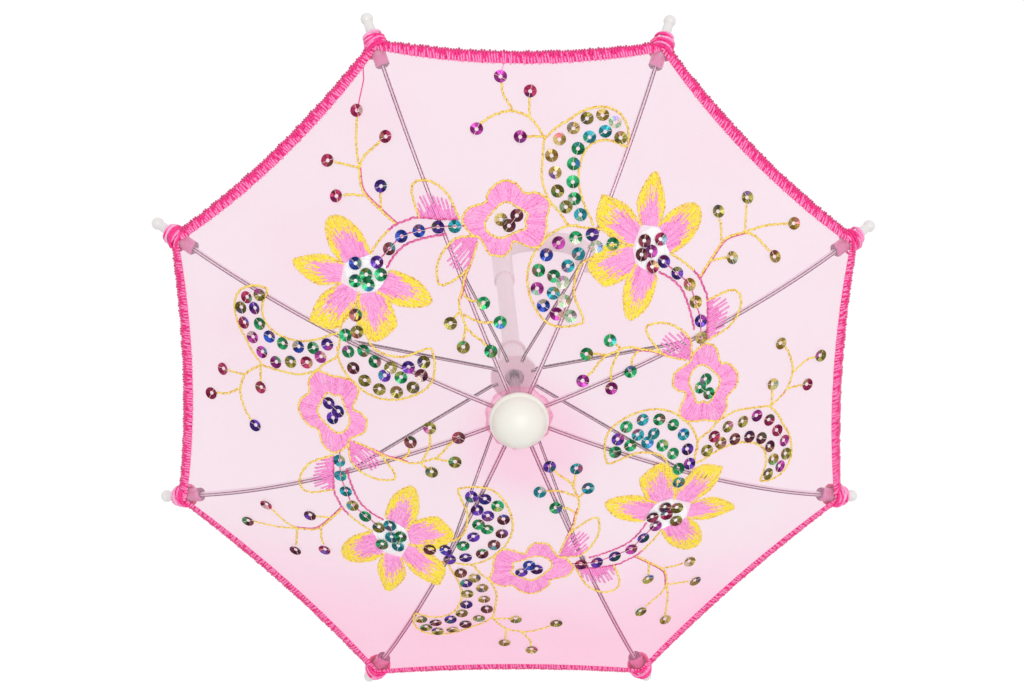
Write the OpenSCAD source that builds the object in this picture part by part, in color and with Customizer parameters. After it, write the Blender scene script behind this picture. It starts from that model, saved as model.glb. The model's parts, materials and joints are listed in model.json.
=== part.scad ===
// Miniature folding parasol: a sheer cloth canopy on eight bowed steel ribs, with a runner
// that slides on the shaft, eight stretchers, a round knob and a crook handle.
// Millimetres. +Z runs up the shaft, and the origin is the middle of the straight hand grip.

/* [Ribs] */
// Radius of the arc that each rib is bowed to
rib_bend_r = 165; // [150:5:220]
// Distance of the rib hinges from the shaft's centre line
hinge_r = 5; // [4.8:0.1:5.6]
// Level reach of an open rib, from its hinge to the mouth of its tip
rib_reach = 102; // [90:1:110]
// Width of the rib's channel
rib_w = 1.3; // [1.2:0.1:1.6]
// Height of the rib's channel
rib_h = 1.2; // [1.2:0.1:1.4]
// Sheet thickness of the rib's channel
rib_wall = 0.2; // [0.15:0.05:0.25]
// Radius of the flattened eye at the rib's inner end
rib_eye_r = 1; // [0.8:0.05:1.05]
// Level distance from the eye's centre to where the channel starts
rib_eye_len = 2; // [1.8:0.1:2.6]

/* [Rib tips] */
// Radius of the tip's sleeve, which holds the rib's end
tip_sleeve_r = 2.2; // [1.8:0.1:2.6]
// Length of the sleeve
tip_sleeve_len = 7.5; // [7:0.5:9]
// Radius of the neck next to the ball
tip_neck_r = 1.4; // [1.2:0.1:1.6]
// Radius of the ball on the tip's end
tip_ball_r = 1.9; // [1.6:0.1:2.2]
// Distance from the sleeve's mouth to the centre of the ball
tip_len = 16.5; // [14:0.5:18]
// Depth of the hole that the rib's end goes into
tip_hole_depth = 6; // [5:0.5:6.5]
// Radial clearance of the rib's corners in that hole
tip_hole_gap = 0.06; // [0.04:0.01:0.1]
// Rounding of the sleeve's two ends
tip_round = 0.4; // [0.2:0.1:0.6]

/* [Stretchers] */
// Level distance from the rib's hinge to the stretcher's rivet
rivet_reach = 50; // [46:1:54]
// Distance of the rivet below the middle of the rib's channel
rivet_drop = 0.15; // [0.1:0.01:0.2]
// Width of the stretcher's bar
stretcher_w = 0.8; // [0.6:0.05:0.8]
// Height of the stretcher's bar
stretcher_h = 0.9; // [0.7:0.1:1]
// Radius of the eye round the rivet
rivet_eye_r = 0.5; // [0.44:0.02:0.52]
// Radius of the eye at the runner
runner_eye_r = 0.75; // [0.6:0.05:0.8]
// Radius of the rivet's shank
rivet_r = 0.25; // [0.2:0.01:0.28]
// Radius of the rivet's two heads
rivet_head_r = 0.5; // [0.4:0.05:0.6]
// Height of each rivet head
rivet_head_h = 0.25; // [0.2:0.05:0.4]
// Radial clearance of a pin in its eye
eye_gap = 0.05; // [0.03:0.01:0.08]

/* [Notch] */
// Radius of the slotted notch that the ribs hinge in
notch_r = 6.6; // [6.4:0.1:6.9]
// Depth of the notch below the hinges
notch_depth = 2.6; // [2:0.1:4]
// Thickness of the notch's closed top
notch_top_t = 0.6; // [0.5:0.1:1]
// Radius of the wire that is threaded through the ribs' eyes
wire_r = 0.3; // [0.2:0.05:0.35]
// Clearance on each side of a blade in its slot
slot_gap = 0.12; // [0.08:0.01:0.15]

/* [Runner] */
// Drop of the runner's pivots below the rib hinges when the parasol is open
runner_drop = 33.5; // [30:0.5:38]
// Distance of the runner's pivots from the centre line
pivot_r = 6.4; // [6.2:0.1:7]
// Width of the flange outside the pivots
flange_rim = 1; // [0.8:0.1:1.6]
// Height of the slotted flange
flange_h = 2.6; // [2:0.1:3.4]
// Radius of the sleeve below the flange
sleeve_r = 4; // [3.8:0.1:4.4]
// Length from the pivots down to the sleeve's lower end
sleeve_len = 22; // [18:1:26]
// How far the lip at the lower end stands out from the sleeve
lip_out = 0.7; // [0.4:0.1:1]
// Height of that lip
lip_h = 1.6; // [1:0.2:3]
// Radial clearance of the runner on the shaft
running_gap = 0.07; // [0.03:0.01:0.1]

/* [Shaft] */
// Radius of the steel rod that carries the notch and the knob
rod_r = 1.6; // [1.4:0.1:1.8]
// Radius of the white tube that the runner slides on
tube_r = 2.9; // [2.7:0.1:3.1]
// Length of the rod inside the tube
rod_socket = 24; // [15:1:40]
// Length of the tube inside the handle
tube_socket = 12; // [8:1:14]
// Space left between the closed runner and the handle
closed_gap = 2.5; // [2:0.5:6]

/* [Knob] */
// Radius of the knob's dome
dome_r = 8.4; // [7.6:0.2:9]
// Radius of the rounded brim under the dome
brim_round = 1.6; // [1.4:0.1:1.8]
// How far the brim stands out from the dome
brim_out = 0.6; // [0.4:0.1:1]
// Length of the rod inside the knob
knob_hole_depth = 6; // [4:0.5:7]

/* [Handle] */
// Radius of the handle
grip_r = 3.6; // [3.4:0.1:4.2]
// Length of the straight hand grip
grip_len = 30; // [28:1:50]
// Radius of the crook's centre line
crook_r = 15; // [12:1:20]
// Straight length after the crook's bend
crook_rise = 8; // [4:1:12]
// Radius of the round end of the crook
crook_end_r = 4.2; // [4.2:0.1:4.6]

/* [Canopy] */
// Thickness that stands for the cloth and its threads
cloth_t = 0.4; // [0.3:0.05:0.5]
// Space between the cloth and what it lies over
cloth_gap = 0.25; // [0.2:0.01:0.3]
// Space between neighbouring panels
panel_gap = 0.3; // [0.2:0.05:0.4]
// Level distance from the mouth of the tip's sleeve to the corner of the cloth
corner_past_mouth = 7.5; // [6:0.5:10]
// How far the rim is drawn in between two ribs
rim_sag = 3; // [0:0.5:6]
// Radius of the middle of the canopy, clamped under the knob
crown_r = 9.3; // [9.1:0.1:9.6]
// Width of the crown's sloping edge
crown_slope_w = 2; // [1.6:0.1:2.2]
// Length over which the cloth climbs onto the tip's sleeve
climb_len = 9; // [7:1:12]

/* [Motion] */
// Angle that the ribs turn through when the parasol closes
fold_angle = 67; // [60:1:67]

/* [Hidden] */
$fn = 48;
sides = 8;
sector = 360 / sides;
numbers = [for (k = [1:sides]) k];
halves = ["a", "b"];

// Overrun of the cuts
cut = 0.5;
// Sink of joined shapes into each other
weld = 0.05;

// The rib's arc is centred under its hinge, and these give a point at an angle along it
function on_arc(a, r) = [hinge_r + r * sin(a), r * cos(a) - rib_bend_r];
function turned_down(p, a) = [
    hinge_r + (p[0] - hinge_r) * cos(a) + p[1] * sin(a),
    p[1] * cos(a) - (p[0] - hinge_r) * sin(a)
];
mouth_a = asin(rib_reach / rib_bend_r);
rivet_a = asin(rivet_reach / rib_bend_r);
eye_a = asin(rib_eye_len / rib_bend_r);
mouth_point = on_arc(mouth_a, rib_bend_r);
rivet_point = on_arc(rivet_a, rib_bend_r - rivet_drop);

// The stretcher's length and the runner's place when the ribs are folded
pivot_point = [pivot_r, -runner_drop];
stretcher_len = norm(rivet_point - pivot_point);
stretcher_a = atan2(rivet_point[1] - pivot_point[1], rivet_point[0] - pivot_point[0]);
rivet_closed = turned_down(rivet_point, fold_angle);
closed_lean = rivet_closed[0] - pivot_r;
closed_drop = sqrt(stretcher_len * stretcher_len - closed_lean * closed_lean) - rivet_closed[1];
runner_travel = closed_drop - runner_drop;

// Heights along the shaft
grip_top_z = grip_len / 2;
hub_z = grip_top_z + closed_gap + sleeve_len + closed_drop;
pivot_z = hub_z - runner_drop;
tube_top_z = pivot_z - flange_h / 2;
notch_top_z = rib_eye_r + slot_gap + notch_top_t;
crown_z = notch_top_z + cloth_gap / 2;
knob_z = crown_z + cloth_t + cloth_gap / 2;

// Radii that follow from their neighbours
wire_bend = hinge_r - sqrt(hinge_r * hinge_r - rib_w * rib_w / 4);
eye_bore_r = wire_r + wire_bend + eye_gap;
slot_w = rib_w + 2 * slot_gap;
notch_slot_r = hinge_r - rib_eye_r - slot_gap;
runner_slot_w = stretcher_w + 2 * slot_gap;
runner_slot_r = pivot_r - runner_eye_r - slot_gap;
flange_r = pivot_r + flange_rim;
tip_hole_r = norm([rib_w, rib_h]) / 2 + tip_hole_gap;
brim_r = dome_r + brim_out;

// The cloth lies on the ribs, and climbs onto the sleeves near its corners
function smooth(x) = x <= 0 ? 0 : x >= 1 ? 1 : x * x * (3 - 2 * x);
cloth_over_rib = rib_h / 2 + cloth_gap;
cloth_over_sleeve = tip_sleeve_r + cloth_gap;
function cloth_lift(reach) = cloth_over_rib
    + (cloth_over_sleeve - cloth_over_rib) * smooth((reach - rib_reach + climb_len) / climb_len);
function arc_z(reach) = sqrt(pow(rib_bend_r, 2) - pow(min(reach, rib_reach), 2)) - rib_bend_r
    - max(reach - rib_reach, 0) * tan(mouth_a);
function cloth_z(reach) = hub_z + arc_z(reach) + cloth_lift(reach) / cos(asin(reach / rib_bend_r));

// Half a gore as a thin shell, between the rib at one side and the fold at the other
panel_rows = 12;
panel_columns = 3;
half_a = sector / 2;
inner_reach = (crown_r + panel_gap) / cos(half_a) - hinge_r;
corner_reach = rib_reach + corner_past_mouth;
function rim_reach(across) = corner_reach - rim_sag * (1 - across * across);
function panel_point(row, column, lift) =
    let (across = column / panel_columns)
    let (reach = inner_reach + (rim_reach(across) - inner_reach) * row / panel_rows)
    let (fold_y = panel_gap / 2)
    let (rib_y = (hinge_r + reach) * sin(half_a) - panel_gap / (2 * cos(half_a)))
    [(hinge_r + reach) * cos(half_a), fold_y + (rib_y - fold_y) * across, cloth_z(reach) + lift];
panel_points = [for (lift = [0, cloth_t]) for (i = [0:panel_rows]) for (j = [0:panel_columns])
    panel_point(i, j, lift)];
layer = (panel_rows + 1) * (panel_columns + 1);
function at(i, j, top) = i * (panel_columns + 1) + j + top * layer;
function quad(p, q, r, s) = [[p, q, r], [p, r, s]];
panel_faces = concat(
    [for (i = [0:panel_rows - 1]) for (j = [0:panel_columns - 1])
        each quad(at(i, j, 1), at(i, j + 1, 1), at(i + 1, j + 1, 1), at(i + 1, j, 1))],
    [for (i = [0:panel_rows - 1]) for (j = [0:panel_columns - 1])
        each quad(at(i, j, 0), at(i + 1, j, 0), at(i + 1, j + 1, 0), at(i, j + 1, 0))],
    [for (i = [0:panel_rows - 1])
        each quad(at(i, 0, 0), at(i, 0, 1), at(i + 1, 0, 1), at(i + 1, 0, 0))],
    [for (i = [0:panel_rows - 1])
        each quad(at(i, panel_columns, 0), at(i + 1, panel_columns, 0),
            at(i + 1, panel_columns, 1), at(i, panel_columns, 1))],
    [for (j = [0:panel_columns - 1])
        each quad(at(0, j, 0), at(0, j + 1, 0), at(0, j + 1, 1), at(0, j, 1))],
    [for (j = [0:panel_columns - 1])
        each quad(at(panel_rows, j, 0), at(panel_rows, j, 1),
            at(panel_rows, j + 1, 1), at(panel_rows, j + 1, 0))]
);

// Colours of the steel and plastic pieces and of the cloth
steel = "silver";
white = "whitesmoke";
ivory = "ivory";
pink = "pink";

// Turns a shape drawn along +X to the rib with number k
module at_rib(k) {
    rotate([0, 0, (k - 0.5) * sector]) children();
}

// Lays a shape drawn in the XY plane into the upright plane of a rib
module in_rib_plane() {
    rotate([90, 0, 0]) children();
}

// A round pin across the rib's plane, centred on it
module cross_pin(p, r, w) {
    translate([p[0], w / 2, hub_z + p[1]])
        in_rib_plane() cylinder(r = r, h = w);
}

// The wire is bent to a ring that runs through all the ribs' eyes
module wire_ring() {
    translate([0, 0, hub_z]) rotate_extrude() translate([hinge_r, 0]) circle(r = wire_r);
}

module shaft_tube() {
    color(white) difference() {
        translate([0, 0, grip_top_z - tube_socket])
            cylinder(r = tube_r, h = tube_top_z - grip_top_z + tube_socket);
        translate([0, 0, tube_top_z - rod_socket]) cylinder(r = rod_r, h = rod_socket + cut);
    }
}

module shaft_rod() {
    rod_foot_z = tube_top_z - rod_socket;
    color(steel) translate([0, 0, rod_foot_z])
        cylinder(r = rod_r, h = hub_z + knob_z + knob_hole_depth - rod_foot_z);
}

module top_notch() {
    color(white) difference() {
        translate([0, 0, hub_z - notch_depth]) cylinder(r = notch_r, h = notch_depth + notch_top_z);
        translate([0, 0, hub_z - notch_depth - cut])
            cylinder(r = rod_r, h = notch_depth + notch_top_z + 2 * cut);
        for (k = numbers) at_rib(k)
            translate([notch_slot_r, -slot_w / 2, hub_z - notch_depth - cut])
                cube([notch_r, slot_w, notch_depth + cut + rib_eye_r + slot_gap]);
        wire_ring();
    }
}

module notch_wire() {
    color(steel) wire_ring();
}

// The middle of the cloth, held between the notch and the knob
module canopy_crown() {
    hole_r = rod_r + cloth_gap;
    flat_r = crown_r - crown_slope_w;
    edge_z = cloth_z(crown_r - hinge_r) - hub_z;
    color(pink) translate([0, 0, hub_z]) rotate_extrude() polygon([
        [hole_r, crown_z],
        [flat_r, crown_z],
        [crown_r, edge_z],
        [crown_r, edge_z + cloth_t],
        [flat_r, crown_z + cloth_t],
        [hole_r, crown_z + cloth_t]
    ]);
}

module top_knob() {
    color(ivory) translate([0, 0, hub_z + knob_z]) difference() {
        rotate_extrude() {
            translate([brim_r - brim_round, brim_round]) circle(r = brim_round);
            square([brim_r - brim_round, 2 * brim_round]);
            intersection() {
                translate([0, brim_round]) circle(r = dome_r);
                translate([0, brim_round]) square([dome_r, dome_r]);
            }
        }
        translate([0, 0, -cut]) cylinder(r = rod_r, h = knob_hole_depth + cut);
    }
}

module handle() {
    color(white) difference() {
        union() {
            translate([0, 0, -grip_top_z]) cylinder(r = grip_r, h = grip_len);
            translate([crook_r, 0, -grip_top_z]) rotate([90, 0, 0]) rotate([0, 0, 180])
                rotate_extrude(angle = 180) translate([crook_r, 0]) circle(r = grip_r);
            translate([2 * crook_r, 0, -grip_top_z]) cylinder(r = grip_r, h = crook_rise);
            translate([2 * crook_r, 0, crook_rise - grip_top_z]) sphere(r = crook_end_r);
        }
        translate([0, 0, grip_top_z - tube_socket]) cylinder(r = tube_r, h = tube_socket + cut);
    }
}

module runner() {
    color(white) translate([0, 0, pivot_z]) difference() {
        union() {
            translate([0, 0, -flange_h / 2]) cylinder(r = flange_r, h = flange_h);
            translate([0, 0, -sleeve_len]) cylinder(r = sleeve_r, h = sleeve_len);
            translate([0, 0, -sleeve_len]) cylinder(r = sleeve_r + lip_out, h = lip_h);
        }
        translate([0, 0, -sleeve_len - cut])
            cylinder(r = tube_r + running_gap, h = sleeve_len + flange_h + cut);
        for (k = numbers) at_rib(k)
            translate([runner_slot_r, -runner_slot_w / 2, -flange_h / 2 - cut])
                cube([flange_r, runner_slot_w, flange_h + 2 * cut]);
    }
}

// A bowed channel, open below, with a flattened eye inside and a straight end in the tip
module rib(k) {
    low = -rib_h / 2;
    high = rib_h / 2;
    out = rib_w / 2;
    in = rib_w / 2 - rib_wall;
    section = [[low, -out], [high, -out], [high, out], [low, out],
        [low, in], [high - rib_wall, in], [high - rib_wall, -in], [low, -in]];
    end_len = tip_hole_depth - tip_hole_gap;
    color(steel) at_rib(k) difference() {
        union() {
            translate([hinge_r, 0, hub_z - rib_bend_r]) in_rib_plane()
                rotate([0, 0, 90 - mouth_a]) rotate_extrude(angle = mouth_a - eye_a)
                    translate([rib_bend_r, 0]) polygon(section);
            translate([mouth_point[0], 0, hub_z + mouth_point[1]]) rotate([0, mouth_a, 0])
                rotate([0, -90, 0]) mirror([0, 0, 1]) linear_extrude(end_len) polygon(section);
            cross_pin([hinge_r, 0], rib_eye_r, rib_w);
            translate([hinge_r, -out, hub_z + low]) cube([2 * rib_eye_len, rib_w, rib_h - rib_wall]);
        }
        cross_pin([hinge_r, 0], eye_bore_r, rib_w + cut);
        cross_pin(rivet_point, rivet_r, rib_w + cut);
    }
}

// Sleeve, neck and ball, drawn along +Z from the sleeve's mouth
module rib_tip(k) {
    neck_end = tip_len - tip_ball_r / 2;
    sleeve_end = tip_sleeve_len - tip_round;
    color(white) at_rib(k) translate([mouth_point[0], 0, hub_z + mouth_point[1]])
        rotate([0, 90 + mouth_a, 0]) difference() {
            union() {
                rotate_extrude() polygon([
                    [0, 0],
                    [tip_sleeve_r - tip_round, 0],
                    [tip_sleeve_r, tip_round],
                    [tip_sleeve_r, sleeve_end],
                    [tip_sleeve_r - tip_round, tip_sleeve_len],
                    [tip_neck_r, neck_end],
                    [0, neck_end]
                ]);
                translate([0, 0, tip_len]) sphere(r = tip_ball_r);
            }
            translate([0, 0, -cut]) cylinder(r = tip_hole_r, h = tip_hole_depth + cut);
        }
}

module rivet(k) {
    color(steel) at_rib(k) {
        cross_pin(rivet_point, rivet_r, rib_w);
        for (side = [0, 1]) mirror([0, side, 0])
            translate([rivet_point[0], rib_w / 2 + rivet_head_h, hub_z + rivet_point[1]])
                in_rib_plane() cylinder(r = rivet_head_r, h = rivet_head_h);
    }
}

// A flat bar from the rivet down to the runner, with an eye at each end
module stretcher(k) {
    color(steel) at_rib(k) difference() {
        union() {
            cross_pin(rivet_point, rivet_eye_r, stretcher_w);
            cross_pin(pivot_point, runner_eye_r, stretcher_w);
            translate([pivot_point[0], 0, hub_z + pivot_point[1]]) rotate([0, -stretcher_a, 0])
                translate([0, -stretcher_w / 2, -stretcher_h / 2])
                    cube([stretcher_len, stretcher_w, stretcher_h]);
        }
        cross_pin(rivet_point, rivet_r + eye_gap, stretcher_w + cut);
        cross_pin(pivot_point, rivet_r + eye_gap, stretcher_w + cut);
    }
}

// Panel a lies next to rib k, and panel b next to the rib after it
module canopy_panel(k, half) {
    color(pink) rotate([0, 0, k * sector]) mirror([0, half == "a" ? 1 : 0, 0])
        polyhedron(points = panel_points, faces = panel_faces);
}

shaft_tube();
shaft_rod();
top_notch();
notch_wire();
canopy_crown();
top_knob();
handle();
runner();
for (k = numbers) {
    rib(k);
    rib_tip(k);
    rivet(k);
    stretcher(k);
    for (h = halves) canopy_panel(k, h);
}
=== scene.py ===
import json
import math
import random

import bmesh
import bpy
from mathutils import Matrix, Vector


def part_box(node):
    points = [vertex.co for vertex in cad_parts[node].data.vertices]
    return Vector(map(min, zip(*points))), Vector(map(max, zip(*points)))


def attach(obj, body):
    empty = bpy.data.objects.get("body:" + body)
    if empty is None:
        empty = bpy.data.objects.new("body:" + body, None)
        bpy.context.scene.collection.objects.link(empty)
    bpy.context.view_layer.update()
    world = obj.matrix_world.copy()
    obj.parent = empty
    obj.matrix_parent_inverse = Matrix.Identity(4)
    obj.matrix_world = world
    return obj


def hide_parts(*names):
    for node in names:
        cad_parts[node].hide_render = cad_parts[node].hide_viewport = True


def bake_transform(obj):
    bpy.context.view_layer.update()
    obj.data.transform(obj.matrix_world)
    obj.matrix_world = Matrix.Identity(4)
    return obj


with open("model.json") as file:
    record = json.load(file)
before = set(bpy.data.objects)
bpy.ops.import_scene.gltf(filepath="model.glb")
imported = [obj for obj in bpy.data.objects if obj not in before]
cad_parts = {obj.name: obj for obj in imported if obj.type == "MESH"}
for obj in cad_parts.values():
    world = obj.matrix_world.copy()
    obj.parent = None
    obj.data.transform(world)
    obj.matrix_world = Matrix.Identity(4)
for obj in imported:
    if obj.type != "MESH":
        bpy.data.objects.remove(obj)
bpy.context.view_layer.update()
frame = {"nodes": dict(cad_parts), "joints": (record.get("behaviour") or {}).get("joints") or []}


# Moulded fittings: the shaft tube, the crook handle, the slotted runner, the notch that the ribs
# hinge in, and the ball-ended rib tips. They are injection moulded in white polystyrene, and are
# pushed or glued on the metal parts.
MM = 0.001


def linear(hex_colour):
    """The linear colour of an sRGB hex value."""
    shares = [int(hex_colour[i:i + 2], 16) / 255 for i in (1, 3, 5)]
    return [s / 12.92 if s <= 0.04045 else ((s + 0.055) / 1.055) ** 2.4 for s in shares] + [1]


def feed(tree, source, socket):
    """Links a socket, or the live output of a node, to an input."""
    if isinstance(source, bpy.types.Node):
        source = next(output for output in source.outputs if output.enabled)
    tree.links.new(source, socket)


def add_node(tree, kind, inputs=None, **settings):
    """A shader node with its settings, and for each input a value or the node or socket that feeds it."""
    node = tree.nodes.new("ShaderNode" + kind)
    for name, value in settings.items():
        setattr(node, name, value)
    for name, value in (inputs or {}).items():
        if isinstance(value, (bpy.types.Node, bpy.types.NodeSocket)):
            feed(tree, value, node.inputs[name])
        else:
            node.inputs[name].default_value = value
    return node


def new_material(name, plain, fed=None):
    """A Principled material with plain values, and a function that gives what feeds its other sockets."""
    material = bpy.data.materials.new(name)
    material.use_nodes = True
    tree = material.node_tree
    shader = tree.nodes["Principled BSDF"]
    for socket, value in plain.items():
        shader.inputs[socket].default_value = value
    if fed:
        place = add_node(tree, "TexCoord").outputs["Object"]
        for socket, source in fed(tree, place).items():
            feed(tree, source, shader.inputs[socket])
    return material


def finish_nodes(material, *names):
    """Gives the frame's own pieces their finish."""
    for name in names:
        for place in frame["nodes"][name].material_slots:
            place.material = material


def moulded(pale, shaded, grain_mm):
    """Faint flow clouds and the fine orange peel of a polished mould."""
    def fed(tree, place):
        cloud = add_node(tree, "TexNoise", {"Vector": place, "Scale": 1 / (8 * MM), "Detail": 3})
        peel = add_node(tree, "TexNoise", {"Vector": place, "Scale": 1 / (grain_mm * MM), "Detail": 1})
        tone = add_node(tree, "Mix", {0: cloud, 6: linear(pale), 7: linear(shaded)}, data_type="RGBA")
        bump = add_node(tree, "Bump", {"Height": peel, "Strength": 0.12, "Distance": 0.1 * MM})
        return {"Base Color": tone, "Normal": bump}
    return fed


# Polystyrene straight from a polished mould: cool white, glossy, a little soft in its highlights
polystyrene = new_material("white_polystyrene", {"Roughness": 0.24, "IOR": 1.59},
                           moulded("#faf8f7", "#f3f0ef", 0.9))
finish_nodes(polystyrene, "shaft_tube", "handle", "runner", "top_notch")


def level_reach(tree, place, x=0, y=0):
    """Level distance of a place from an upright line that stands x and y millimetres off the shaft's."""
    level = add_node(tree, "VectorMath", {0: place, 1: (1, 1, 0), 2: (-x * MM, -y * MM, 0)},
                     operation="MULTIPLY_ADD")
    return add_node(tree, "VectorMath", {0: level}, operation="LENGTH")


def tip_plastic(tree, place):
    """White at the neck and ball, with a painted pink shade where the cloth lies over the sleeve, and a
    painted dark shade in the sleeve's mouth.
    """
    out = level_reach(tree, place)
    cloud = add_node(tree, "TexNoise", {"Vector": place, "Scale": 1 / (3 * MM), "Detail": 2})
    white = add_node(tree, "Mix", {0: cloud, 6: linear("#ebe8e7"), 7: linear("#dedad9")}, data_type="RGBA")
    # Painted pink shade: the sleeve under the cloth is coloured as the light through the cloth would tint it
    cloth_shade_share = add_node(tree, "MapRange", {"Value": out, "From Min": 112.5 * MM, "From Max": 110.5 * MM})
    sleeve = add_node(tree, "Mix", {0: cloth_shade_share, 6: white, 7: linear("#ec9ac6")}, data_type="RGBA")
    # Painted dark shade in the sleeve's mouth, where the rib goes in
    shaded = add_node(tree, "MapRange", {"Value": out, "From Min": 107.7 * MM, "From Max": 107.4 * MM})
    mouth = add_node(tree, "Mix", {0: shaded, 6: sleeve, 7: linear("#a3688a")}, data_type="RGBA")
    return {"Base Color": mouth}


# The same polystyrene at the tips, with a painted pink shade where the cloth lies over the sleeve
finish_nodes(new_material("tip_polystyrene", {"Roughness": 0.24, "IOR": 1.59}, tip_plastic),
             *[f"rib_tip_{k}" for k in range(1, 9)])


# Rod, ring and rivets: bright drawn steel wire. The rod is pressed into the tube and the knob, the
# ring is threaded through the ribs' eyes, and the rivets' ends are headed over.
def drawn(tree, place):
    """Fine lines along the way the wire was drawn."""
    along = add_node(tree, "Mapping", {"Vector": place, "Scale": (1, 1, 0.04)})
    line = add_node(tree, "TexNoise", {"Vector": along, "Scale": 1 / (0.5 * MM), "Detail": 3})
    tone = add_node(tree, "Mix", {0: line, 6: linear("#d2d3d6"), 7: linear("#a3a4a8")}, data_type="RGBA")
    rough = add_node(tree, "MapRange", {"Value": line, "To Min": 0.2, "To Max": 0.36})
    return {"Base Color": tone, "Roughness": rough}


# Drawn wire: bright, with fine lines along it that blur what it mirrors
wire_steel = new_material("drawn_steel", {"Metallic": 1}, drawn)
finish_nodes(wire_steel, "shaft_rod", "notch_wire", *[f"rivet_{k}" for k in range(1, 9)])


# Ribs and stretchers: channel and flat strip rolled from bright steel. The folds of the channel carry a
# painted dark reflection, which shows through the cloth as two thin lines, broken into painted dashes as
# though threads lay over them.
DASH = 1.25


def rolled(line_mm):
    """Bright strip that runs out from the shaft, with a painted dark reflection line at the fold to both
    sides of its middle.
    """
    def fed(tree, place):
        split = add_node(tree, "SeparateXYZ", {"Vector": place}).outputs
        bearing = add_node(tree, "Math", {0: split["Y"], 1: split["X"]}, operation="ARCTAN2")
        eighth = add_node(tree, "Math", {0: bearing, 1: math.pi / 4}, operation="FLOORED_MODULO")
        off = add_node(tree, "Math", {0: eighth, 1: math.pi / 8}, operation="SUBTRACT")
        out = level_reach(tree, place)
        side = add_node(tree, "Math", {0: off, 1: out}, operation="MULTIPLY")
        from_middle = add_node(tree, "Math", {0: side}, operation="ABSOLUTE")
        off_line = add_node(tree, "Math", {0: from_middle, 1: line_mm * MM}, operation="SUBTRACT")
        off_line = add_node(tree, "Math", {0: off_line}, operation="ABSOLUTE")
        bright = add_node(tree, "MapRange", {"Value": off_line,
                                             "From Min": 0.12 * MM, "From Max": 0.18 * MM})
        pits = add_node(tree, "TexNoise", {"Vector": place, "Scale": 1 / (2 * MM), "Detail": 2})
        phase = add_node(tree, "Math", {0: out, 1: math.tau / (DASH * MM)}, operation="MULTIPLY")
        drift = add_node(tree, "Math", {0: pits, 1: 14, 2: phase}, operation="MULTIPLY_ADD")
        beat = add_node(tree, "Math", {0: drift}, operation="SINE")
        dash = add_node(tree, "MapRange", {"Value": beat, "From Min": 0.1, "From Max": 0.7})
        # Painted dark reflection at the folds, drawn in dashes
        fold_shade = add_node(tree, "Mix", {0: dash, 6: linear("#0e0a0d"), 7: linear("#8f7384")}, data_type="RGBA")
        tone = add_node(tree, "Mix", {0: bright, 6: fold_shade, 7: linear("#fdf6fa")}, data_type="RGBA")
        return {"Base Color": tone}
    return fed


# Rolled strip: pale and satin where it is flat, with painted dark reflections at the folds
finish_nodes(new_material("rolled_rib_steel", {"Metallic": 0.3, "Roughness": 0.35}, rolled(0.4)),
             *[f"rib_{k}" for k in range(1, 9)])
finish_nodes(new_material("flat_strip_steel", {"Metallic": 0.3, "Roughness": 0.35}, rolled(0.3)),
             *[f"stretcher_{k}" for k in range(1, 9)])


# Canopy: one octagon of sheer pink organza, pulled tight over the bowed ribs, with straight lines between
# two ribs and a rim that draws in. It is drawn here as 16 half gores that meet at the ribs and at the folds
# between them.
HINGE_R = 5.0
BEND_R = 165.0
RIB_REACH = 102.0
CORNER_REACH = 109.5
RIM_SAG = 3.0
INNER_REACH = 4.9
OVER_RIB = 0.95
OVER_SLEEVE = 2.55
CLIMB = 9.0
WEAVE_PITCH = 0.3
HALF = math.radians(22.5)
MOUTH_SLOPE = RIB_REACH / math.sqrt(BEND_R ** 2 - RIB_REACH ** 2)
HUB = [joint["pos_m"][2] for joint in frame["joints"] if joint["name"] == "rib_fold_1"][0] / MM


def smooth(share):
    """A soft step from 0 to 1."""
    share = min(max(share, 0), 1)
    return share * share * (3 - 2 * share)


def cloth_height(reach):
    """Height of the cloth above the rib hinges, at a level reach out from them along a rib."""
    bow = math.sqrt(BEND_R ** 2 - min(reach, RIB_REACH) ** 2) - BEND_R
    beyond = max(reach - RIB_REACH, 0) * MOUTH_SLOPE
    lift = OVER_RIB + (OVER_SLEEVE - OVER_RIB) * smooth((reach - RIB_REACH + CLIMB) / CLIMB)
    return bow - beyond + lift * BEND_R / math.sqrt(BEND_R ** 2 - reach ** 2)


def half_gore(x, y):
    """Number, from 0 to 15 round the shaft, of the half gore over a place in plan."""
    return int((math.atan2(y, x) % math.tau) / HALF) % 16


def gore_middle(half):
    """Bearing of the fold that a half gore ends at."""
    return (half + 1) // 2 * 2 * HALF


def gore_place(x, y, half):
    """Reach along the ribs, and share of the way from fold to rib, of a place on a half gore."""
    middle = gore_middle(half)
    away = x * math.cos(middle) + y * math.sin(middle)
    aside = abs(y * math.cos(middle) - x * math.sin(middle))
    return away / math.cos(HALF) - HINGE_R, aside / (away * math.tan(HALF))


def hang(piece, half):
    """The gore, side and rib of a half gore's piece, whose transform is baked into its mesh."""
    gore, side = (half + 1) // 2 or 8, "ba"[half % 2]
    rib = gore if side == "a" else gore % 8 + 1
    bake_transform(piece)
    return gore, side, rib


def new_piece(name, shape, *materials):
    """A piece from a bmesh in millimetres, with its materials."""
    bmesh.ops.scale(shape, verts=shape.verts, vec=(MM, MM, MM))
    mesh = bpy.data.meshes.new(name)
    shape.to_mesh(mesh)
    shape.free()
    for material in materials:
        mesh.materials.append(material)
    mesh.shade_smooth()
    piece = bpy.data.objects.new(name, mesh)
    bpy.context.scene.collection.objects.link(piece)
    return piece


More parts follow.
